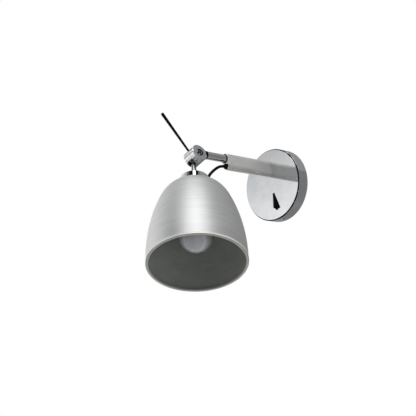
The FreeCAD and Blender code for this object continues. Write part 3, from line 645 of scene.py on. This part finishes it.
@dataclass
class Rod:
    """The handle: a lacquered black rod, thicker at its tip, with a pale flat end. Sizes in millimetres.

    The rod starts at the hub and leans from the stem's axis by lean degrees.
    It widens evenly from widening_from to the shoulder before its end cap.
    """
    start: float = 6.5
    length: float = 72.4
    widening_from: float = 11.58
    root_radius: float = 1.45
    tip_radius: float = 2.1
    end: float = 1.2
    shoulder_drops: tuple[float, float] = (0.25, 0.1)
    shoulder_insets: tuple[float, float] = (0.02, 0.15)
    lean: float = -136.14
    steps: int = 40
    rounds: int = 40

    def outline(self) -> np.ndarray:
        """Draw the rod's side, with its rounded shoulder before the end cap.

        Returns:
            Radius and height of each point.
        """
        shoulder = self.length - self.end
        first, second = self.shoulder_drops
        inner, outer = self.shoulder_insets
        heights = np.linspace(self.widening_from, shoulder - first, self.steps)
        share = (heights - self.widening_from) / (shoulder - self.widening_from)
        side = np.stack([self.root_radius + share * (self.tip_radius - self.root_radius), heights], axis=1)
        root = [[0.0, self.start], [self.root_radius, self.start]]
        tip = [[self.tip_radius - inner, shoulder - second], [self.tip_radius - outer, shoulder],
               [0.0, shoulder]]
        return np.concatenate([root, side, tip])

    def build(self) -> None:
        """Make the rod and lean it about the bolt."""
        lean = math.radians(self.lean)
        x, y, z = np.moveaxis(turn(self.outline(), self.rounds), -1, 0)
        leaned = [x, y * math.cos(lean) - z * math.sin(lean), y * math.sin(lean) + z * math.cos(lean)]
        rod = skin("lacquered_rod", HEAD.to_lamp(np.stack(leaned, axis=-1)), (BLACK_GLOSS,))
        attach(rod, "head")
        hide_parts("handle_rod")
        log.info("built %s", rod.name)


@dataclass
class BoltFacePaintedShade:
    """The pivot bolt's head in its boss: a black ring of painted shade over the gap round the head, a paler
    face, and a socket painted black for the shade in it. Sizes in millimetres.

    The tones give each step along the outline its finish: painted shade black, then paler, then painted
    shade black again.
    """
    face: float = 4.365
    rim: float = 3.38
    ring: float = 4.70
    ring_rise: float = 0.33
    socket: float = 1.3
    depth: float = 0.5
    root: float = 0.9
    soft: float = 0.06
    corners: int = 6
    # The black steps are painted shade: the socket, and the ring over the gap round the head.
    tones_with_painted_shade: tuple[int, ...] = (0,) * 2 + (1,) * 2 + (0,) * 8
    rounds: int = 72

    def outline(self) -> np.ndarray:
        """Draw the head from the socket's floor out to the ring and back below.

        Returns:
            Radius and height of each point. The second to fourth are the socket's.
        """
        soft, top = self.soft, self.ring_rise
        return np.array([
            (0.0, -self.depth), (self.socket, -self.depth), (self.socket, -soft), (self.socket + soft, 0.0),
            (self.rim - soft, 0.0), (self.rim, soft), (self.rim, top - soft), (self.rim + soft, top),
            (self.ring - soft, top), (self.ring, top - soft), (self.ring, -soft), (self.rim, -self.root),
            (0.0, -self.root)])

    def build(self) -> None:
        """Make the head as a turned plate whose socket points lie on a hexagon."""
        grid = turn(self.outline(), self.rounds)
        angle = np.linspace(0.0, math.tau, self.rounds, endpoint=False)
        sector = math.tau / self.corners
        hexagon = math.cos(sector / 2) / np.cos((angle % sector) - sector / 2)
        grid[:, 1:4, :2] *= hexagon[:, None, None]
        grid[..., 2] += self.face
        face = skin("pivot_bolt_face", BOLT.to_lamp(grid), (BLACK, BOLT_STEEL), np.array(self.tones_with_painted_shade))
        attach(face, "knuckle")
        log.info("built %s", face.name)


@dataclass
class Bead:
    """The rolled bead round the shade's mouth, with a dark line of painted shade at each rounded corner
    beside its face. Sizes in millimetres.

    The tones give each step along the outline its finish: painted lit edge, painted shade line, painted
    shaded face, painted shade line, and inside.
    """
    mouth: float = 166.3
    outer: float = 61.3
    width: float = 3.5
    height: float = 3.5
    round_off: float = 1.2
    corner_points: int = 7
    # Steps 9 and 10, and 17 and 18, are the painted shade lines on two rounded corners.
    tones_with_painted_shade: tuple[int, ...] = (0,) * 9 + (1,) * 2 + (2,) * 6 + (1,) * 2 + (3,) * 9
    rounds: int = 192

    def corner(self, radius: float, height: float, start: float) -> np.ndarray:
        """Draw a quarter circle of the rounded edge.

        Args:
            radius, height: the quarter's middle.
            start: the angle that it starts at.
        Returns:
            Radius and height of each point.
        """
        angle = start + np.linspace(0.0, math.pi / 2, self.corner_points)
        quarter = np.stack([np.cos(angle), np.sin(angle)], axis=1)
        return np.array([radius, height]) + self.round_off * quarter

    def build(self) -> None:
        """Make the ring: down its outside, across its face, up its inside and back over the top."""
        near, far = self.outer - self.round_off, self.outer - self.width + self.round_off
        low, top = self.mouth - self.round_off, self.mouth - self.height + self.round_off
        parts = [self.corner(near, top, -math.pi / 2), self.corner(near, low, 0.0),
                 self.corner(far, low, math.pi / 2), self.corner(far, top, math.pi)]
        outline = np.concatenate([*parts, parts[0][:1]])
        ring = skin("mouth_bead", HEAD.to_lamp(turn(outline, self.rounds)),
                    (BEAD_EDGE_PAINTED_LIT, BEAD_LINE_PAINTED_SHADE, BEAD_FACE_PAINTED_SHADED, INSIDE), np.array(self.tones_with_painted_shade))
        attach(ring, "head")
        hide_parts("shade_bead")
        log.info("built %s", ring.name)


@dataclass
class Bulb:
    """The bulb's glass: a globe that runs in an easy curve into its neck. Sizes in millimetres."""
    centre: float = 123.4
    radius: float = 22.5
    neck: float = 12.5
    neck_start: float = 93.5
    bend: float = 7.0
    wall: float = 0.8
    # The point of the glass that faces the camera; the glass's painted shade and painted highlight ring are
    # drawn round it.
    spot: Place = (0.0150, -0.1994, -0.1040)
    bend_steps: int = 14
    globe_steps: int = 60
    rounds: int = 96

    def profile(self, inset: float) -> np.ndarray:
        """Draw the outline from the neck's start to the pole: a straight neck, a bend and the globe.

        Args:
            inset: how far inside the outer face.
        Returns:
            Radius and height of each point.
        """
        radius, neck = self.radius - inset, self.neck - inset
        blend = self.bend + inset
        rise = math.sqrt((radius + blend) ** 2 - (neck + blend) ** 2)
        opening = math.acos((neck + blend) / (radius + blend))
        sweep = np.linspace(0.0, opening, self.bend_steps)
        bend_start = self.centre - rise
        bent = np.stack([neck + blend - blend * np.cos(sweep), bend_start + blend * np.sin(sweep)], axis=1)
        angle = np.linspace(-opening, math.pi / 2, self.globe_steps)
        globe = np.stack([radius * np.cos(angle), self.centre + radius * np.sin(angle)], axis=1)
        return np.concatenate([[[neck, self.neck_start]], bent, globe[1:]])

    def build(self) -> None:
        """Make the outer and inner faces of the glass, joined at the neck's rim."""
        outer, inner = self.profile(0.0), self.profile(self.wall)
        grid = turn(np.concatenate([outer[::-1], inner]), self.rounds)
        glass = skin("bulb_glass_skin", HEAD.to_lamp(grid), (RippledGlass(spot=self.spot),))
        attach(glass, "head")
        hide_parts("bulb_glass")
        log.info("built %s", glass.name)


@dataclass
class Cord:
    """The lamp's cord, in two stretches that meet between the grommet and the cap. Places in metres."""
    radius: float = 0.0019
    meeting: Place = (0.0002, -0.1226, 0.0086)
    arm_points: tuple[Place, ...] = (
        (0.0, -0.088, 0.01644), (0.0, -0.105, 0.01644), (0.0, -0.1156, 0.0134))
    head_points: tuple[Place, ...] = (
        (0.0004, -0.1299, 0.0036), (0.0003, -0.1370, -0.0033), (-0.00039, -0.14879, -0.01712))
    grommet_exit: Place = (0.0, -0.1023, 0.01644)
    gland_top: Place = (-0.0001, -0.1433, -0.0107)
    rounds: int = 28
    steps: int = 16

    def route(self, name: str, points: Sequence[Place]) -> np.ndarray:
        """Work out the centre line: a NURBS of order 3 whose control points are the chosen points.

        Args:
            name: the stretch's name.
            points: the control points.
        Returns:
            The points of the evaluated line.
        """
        curve = bpy.data.curves.new(name + "_route", "CURVE")
        curve.dimensions = "3D"
        spline = curve.splines.new("NURBS")
        spline.points.add(len(points) - 1)
        for control, point in zip(spline.points, points):
            control.co = (*point, 1.0)
        spline.order_u = 3
        spline.use_endpoint_u = True
        spline.resolution_u = self.steps
        holder = bpy.data.objects.new(name + "_route", curve)
        bpy.context.scene.collection.objects.link(holder)
        bpy.context.view_layer.update()
        line = bpy.data.meshes.new_from_object(holder)
        path = np.empty(len(line.vertices) * 3)
        line.vertices.foreach_get("co", path)
        bpy.data.objects.remove(holder)
        bpy.data.curves.remove(curve)
        bpy.data.meshes.remove(line)
        return path.reshape(-1, 3)

    def tube(self, name: str, path: np.ndarray) -> bpy.types.Object:
        """Make a round tube: each ring is the path's point plus r cos a across plus r sin a up.

        Args:
            name: the piece's name.
            path: the centre line's points.
        Returns:
            The tube, closed by a pole at each end.
        """
        heading = np.gradient(path, axis=0)
        heading /= np.linalg.norm(heading, axis=1)[:, None]
        across = np.cross(heading, (1.0, 0.0, 0.0))
        across /= np.linalg.norm(across, axis=1)[:, None]
        up = np.cross(heading, across)
        angle = np.linspace(0.0, math.tau, self.rounds, endpoint=False)[:, None, None]
        rings = path + self.radius * (np.cos(angle) * across + np.sin(angle) * up)
        ends = [np.repeat(path[None, end:end + 1 or None], self.rounds, axis=0) for end in (0, -1)]
        return skin(name, np.concatenate([ends[0], rings, ends[1]], axis=1), (RUBBER,))

    def build(self) -> None:
        upper = (*self.arm_points, self.meeting)
        lower = (self.meeting, *self.head_points)
        stretches = (
            ("cord_from_arm", "lamp_cord_upper", upper, ("wall_mount", "knuckle"),
             self.grommet_exit, self.meeting),
            ("cord_to_cap", "lamp_cord_lower", lower, ("knuckle", "head"),
             self.meeting, self.gland_top))
        for name, node, points, bodies, start, end in stretches:
            path = self.route(name, points)
            cord = self.tube(name, path)
            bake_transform(cord)
            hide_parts(node)


def dress_nodes() -> None:
    """Give every CAD node its own finish, or else that of its material slot."""
    for part in frame["record"]["subparts"]:
        finish = NODE_FINISH.get(part["node"], SLOT_FINISH[part["material_slot"]])
        node = frame["nodes"][part["node"]]
        node.data.materials.clear()
        node.data.materials.append(finish.build())
        log.info("dressed %s in %s", part["node"], finish.name)


@dataclass(frozen=True)
class Field:
    """A soft-edged patch of the surroundings that the polished metal mirrors.

    Its angles are in degrees: first round the stem's axis, from the camera's side towards the left, then
    up along that axis.

    Args:
        centre: the patch's middle.
        half: its half size.
        soft: how wide its edge is.
        gain: how much brighter it is than the rest, or darker if below zero.
    """
    centre: tuple[float, float]
    half: tuple[float, float]
    soft: tuple[float, float]
    gain: float


@dataclass(frozen=True)
class Softbox:
    """A square lamp that faces the shade.

    Args:
        name: the lamp's name.
        place: where it stands, in metres.
        size: its side, in metres.
        power: its power, in watts.
    """
    name: str
    place: Place
    size: float
    power: float


@dataclass
class Studio:
    """Camera, floor, lamps and the bright and dark fields that the polished metal mirrors."""
    camera_place: Place = (0.70609, -0.8632, -0.41754)
    camera_right: Place = (0.6464, 0.7385, -0.1918)
    camera_up: Place = (0.3827, -0.0963, 0.9188)
    lens: float = 73.56
    sensor: float = 36.0
    nearest: float = 0.01
    floor_z: float = -1.3
    floor_size: float = 9.0
    floor_colours: tuple[Colour, Colour] = ((0.80, 0.80, 0.80), (0.84, 0.84, 0.84))
    floor_grain: float = 14.0
    floor_rough: float = 0.7
    floor_glow: float = 0.5
    level: float = 0.33
    darkest: float = 0.012
    seen_white: float = 1.0
    aim: Place = (0.0, -0.17, -0.03)
    softboxes: tuple[Softbox, ...] = (
        Softbox("top_softbox", (0.95, -0.55, 0.75), size=0.5, power=20.0),
        Softbox("left_softbox", (-0.95, -1.1, 0.35), size=0.9, power=9.0))
    fields: tuple[Field, ...] = (
        # The bright field that gives the shade its highlight, and a pale one over it.
        Field((-0.5, 40.0), (27.0, 20.5), (12.0, 16.0), 2.5),
        Field((-1.0, 57.0), (36.0, 7.0), (12.0, 6.0), 0.2),
        # Four pale fields on the left, from high to low.
        Field((110.0, 55.0), (75.0, 35.0), (50.0, 20.0), 0.14),
        Field((130.0, 36.0), (50.0, 13.0), (44.0, 16.0), 0.45),
        Field((92.0, 1.0), (32.0, 10.0), (24.0, 14.0), 0.45),
        Field((92.0, -13.0), (32.0, 24.0), (24.0, 14.0), 0.52),
        # Dark fields on the right, below in front, and below on the left.
        Field((-120.0, 2.0), (50.0, 28.0), (16.0, 8.0), -0.11),
        Field((25.0, -40.0), (44.0, 60.0), (8.0, 8.0), -0.35),
        Field((145.0, -52.0), (36.0, 14.0), (10.0, 6.0), -0.33),
        # Dark fields beside the bright one, and at its two upper corners.
        Field((38.0, 36.0), (20.0, 16.0), (6.0, 8.0), -0.31),
        Field((-34.0, 38.0), (14.0, 10.0), (6.0, 8.0), -0.31),
        Field((22.0, 47.5), (14.0, 5.0), (4.0, 3.0), -4.0),
        Field((-24.0, 47.5), (11.0, 5.0), (4.0, 3.0), -4.0),
        # A paler field in the dark below, with four small glints.
        Field((-8.0, -40.0), (16.0, 40.0), (20.0, 30.0), 0.35),
        Field((5.0, -44.0), (3.0, 2.0), (2.0, 1.5), 1.2),
        Field((22.0, -67.0), (5.0, 2.0), (3.0, 1.5), 1.2),
        Field((6.0, -67.0), (4.0, 1.6), (2.0, 1.2), 15.0),
        Field((-16.0, -50.0), (2.5, 1.6), (1.5, 1.0), 15.0))

    def shoot(self) -> None:
        """Place the camera at the photograph's angle."""
        data = bpy.data.cameras.new("camera")
        data.lens = self.lens
        data.sensor_width = self.sensor
        data.clip_start = self.nearest
        camera = bpy.data.objects.new("camera", data)
        bpy.context.scene.collection.objects.link(camera)
        right = unit(self.camera_right)
        back = unit(np.cross(right, self.camera_up))
        axes = np.stack([right, np.cross(back, right), back], axis=1)
        camera.matrix_world = Matrix.Translation(self.camera_place) @ Matrix(axes.tolist()).to_4x4()
        bpy.context.scene.camera = camera

    def panel(self, sheet: Sheet, angles: Sequence[bpy.types.NodeSocket],
              field: Field) -> bpy.types.NodeSocket:
        """Work out how much a direction lies in a field, 1 inside and 0 outside.

        Args:
            sheet: the world's node sheet.
            angles: the direction's two angles about the stem, in degrees.
            field: the field.
        Returns:
            The share, 0 to 1.
        """
        shares = []
        for angle, middle, reach, edge in zip(angles, field.centre, field.half, field.soft):
            away = sheet.math("ABSOLUTE", sheet.math("SUBTRACT", angle, middle))
            shares.append(sheet.share(away, reach - edge / 2, reach + edge / 2, 1.0, 0.0, "SMOOTHSTEP"))
        return sheet.math("MULTIPLY", *shares)

    def surround(self) -> None:
        """Make the world: white behind the lamp, fields of light and dark for what the metal mirrors."""
        world = bpy.data.worlds.new("studio")
        bpy.context.scene.world = world
        world.use_nodes = True
        sheet = Sheet(world.node_tree)
        direction = sheet.add("TexCoord").outputs["Generated"]
        back = unit(np.cross(self.camera_right, self.camera_up))
        stem = unit(STEM_AXIS)
        ahead = unit(back - back.dot(stem) * stem)
        left = np.cross(stem, ahead)
        forward, sideways, upward = (
            sheet.add("VectorMath", {0: direction, 1: tuple(axis)}, operation="DOT_PRODUCT").outputs["Value"]
            for axis in (ahead, left, -stem))
        angles = (sheet.math("DEGREES", sheet.math("ARCTAN2", sideways, forward)),
                  sheet.math("DEGREES", sheet.math("ARCSINE", upward)))
        mirrored = self.level
        for field in self.fields:
            lit = sheet.math("MULTIPLY", self.panel(sheet, angles, field), field.gain)
            mirrored = sheet.math("ADD", lit, mirrored)
        mirrored = sheet.math("MAXIMUM", mirrored, self.darkest)
        path = sheet.add("LightPath")
        seen = sheet.math("MAXIMUM", path.outputs["Is Camera Ray"], path.outputs["Is Transmission Ray"])
        strength = sheet.math("ADD", sheet.math("MULTIPLY", seen, self.seen_white),
                              sheet.math("MULTIPLY", sheet.math("SUBTRACT", 1.0, seen), mirrored))
        background = sheet.add("Background", {"Color": (1.0, 1.0, 1.0, 1.0), "Strength": strength})
        sheet.add("OutputWorld", {"Surface": background.outputs[0]})

    def light(self, softbox: Softbox) -> None:
        """Set up one softbox, seen by matt surfaces and not by mirrors.

        Args:
            softbox: the lamp to set up.
        """
        data = bpy.data.lights.new(softbox.name, "AREA")
        data.size = softbox.size
        data.energy = softbox.power
        lamp = bpy.data.objects.new(softbox.name, data)
        lamp.visible_glossy = False
        bpy.context.scene.collection.objects.link(lamp)
        facing = (Vector(self.aim) - Vector(softbox.place)).to_track_quat("-Z", "Y")
        lamp.matrix_world = Matrix.Translation(softbox.place) @ facing.to_matrix().to_4x4()

    def lay_floor(self) -> None:
        """Lay a pale floor well below the lamp that mirrors don't see."""
        half = self.floor_size / 2
        corners = [(-half, -half, self.floor_z), (half, -half, self.floor_z), (half, half, self.floor_z),
                   (-half, half, self.floor_z)]
        mesh = bpy.data.meshes.new("floor")
        mesh.from_pydata(corners, [], [(0, 1, 2, 3)])
        floor = bpy.data.objects.new("floor", mesh)
        bpy.context.scene.collection.objects.link(floor)
        material = bpy.data.materials.new("pale_floor")
        material.use_nodes = True
        sheet = Sheet(material.node_tree)
        grain = sheet.noise(sheet.add("TexCoord").outputs["Object"], self.floor_grain)
        matt = sheet.add("BsdfPrincipled", {
            "Base Color": sheet.ramp(grain, list(zip((0.0, 1.0), self.floor_colours))),
            "Roughness": self.floor_rough, "Emission Color": (1.0, 1.0, 1.0, 1.0),
            "Emission Strength": self.floor_glow})
        sheet.add("OutputMaterial", {"Surface": matt.outputs[0]})
        mesh.materials.append(material)
        floor.visible_glossy = False

    def set_up(self) -> None:
        """Make everything that isn't the lamp."""
        self.shoot()
        self.surround()
        self.lay_floor()
        for softbox in self.softboxes:
            self.light(softbox)
        bpy.context.scene.view_settings.view_transform = "Standard"


def main() -> None:
    """Build the pieces in order."""
    logging.basicConfig(level=logging.INFO, format="%(name)s: %(message)s")
    Studio().set_up()
    dress_nodes()
    Bell().build()
    Bead().build()
    Rod().build()
    BoltFacePaintedShade().build()
    Bulb().build()
    Cord().build()


if __name__ == "__main__":
    main()
